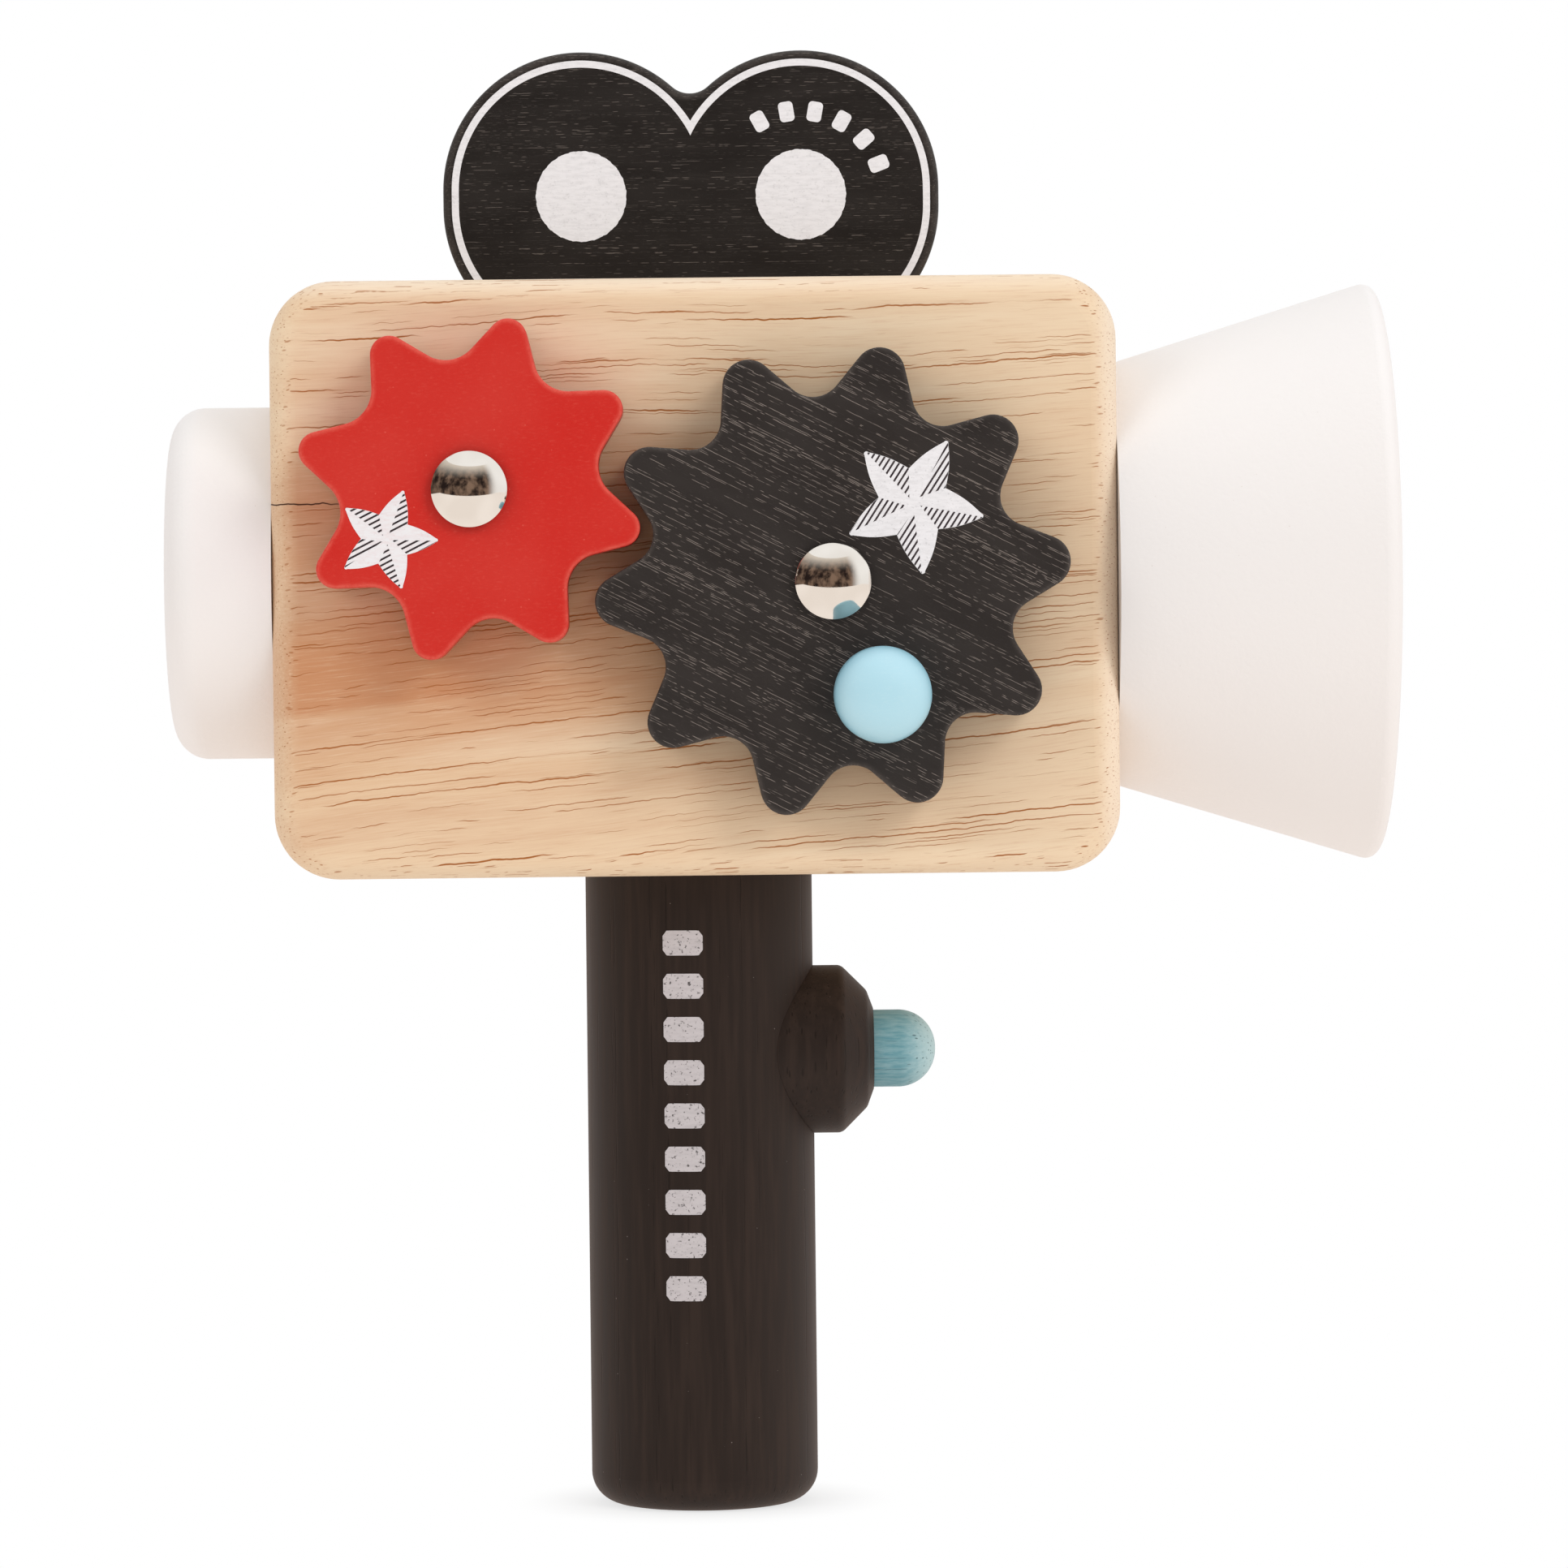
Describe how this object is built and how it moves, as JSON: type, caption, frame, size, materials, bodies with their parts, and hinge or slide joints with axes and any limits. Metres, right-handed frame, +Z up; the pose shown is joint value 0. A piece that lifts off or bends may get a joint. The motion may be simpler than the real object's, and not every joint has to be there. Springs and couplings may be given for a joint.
{
  "type": "toy camera",
  "caption": "Wooden toy film camera on a round grip, with a reel-shaped top plate, meshing crank gears, a flared lens hood, an eyepiece and a sprung push button.",
  "frame": {"origin": "centre of the flat foot under the handle", "axes": "+Z up along the handle, +X towards the lens hood, -Y towards the face that carries the gears"},
  "size_m": [0.18, 0.0933, 0.2174],
  "materials": {
    "rubberwood": "pale sanded wood with short brown vessel streaks, matt clear coat",
    "black_paint": "charcoal stain on wood, satin, fine lighter grain showing",
    "brown_stain": "brown-black stain on turned wood, satin, grain showing",
    "white_paint": "warm white satin paint on turned wood",
    "red_paint": "red satin paint on wood, lighter at the edges",
    "blue_paint": "light blue satin paint on turned wood",
    "teal_paint": "light blue paint on turned wood, worn, with dark pores",
    "birch": "bare turned wood",
    "chrome": "polished plating",
    "spring_steel": "drawn wire",
    "clear_acrylic": "clear, cut into facets",
    "dark_fibre": "matt dark fibre"
  },
  "bodies": {
    "camera": {"body_block": "rubberwood", "reel_plate": "black_paint", "reel_dowels": "birch", "eyepiece": "white_paint", "lens_hood": "white_paint", "lens_sleeve": "birch", "kaleidoscope_lens": "clear_acrylic", "lens_ring": "dark_fibre", "black_gear_pin": "chrome", "red_gear_pin": "chrome", "black_gear_back_washer": "dark_fibre", "red_gear_back_washer": "dark_fibre", "black_gear_front_washer": "dark_fibre", "red_gear_front_washer": "dark_fibre", "handle": "brown_stain", "handle_dowel": "birch", "button_housing": "brown_stain", "button_spring": "spring_steel"},
    "crank": {"black_gear": "black_paint", "crank_knob": "blue_paint"},
    "idler": {"red_gear": "red_paint"},
    "button": {"push_button": "teal_paint"}
  },
  "joints": [
    {"name": "black_gear_spin", "type": "hinge", "parent": "camera", "child": "crank", "pos_m": [0.0199, -0.0342, 0.1377], "axis": [0, -1, 0], "continuous": true},
    {"name": "red_gear_spin", "type": "hinge", "parent": "camera", "child": "idler", "pos_m": [-0.03248, -0.0342, 0.15154], "axis": [0, -1, 0], "continuous": true},
    {"name": "button_slide", "type": "slide", "parent": "camera", "child": "button", "axis": [-1, 0, 0], "range_m": [0, 0.005], "stiffness_N_per_m": 400, "springref_m": -0.005, "deforming": ["button_spring"]}
  ],
  "couplings": [
    {"joint": "red_gear_spin", "follows": "black_gear_spin", "ratio": -1.25}
  ]
}
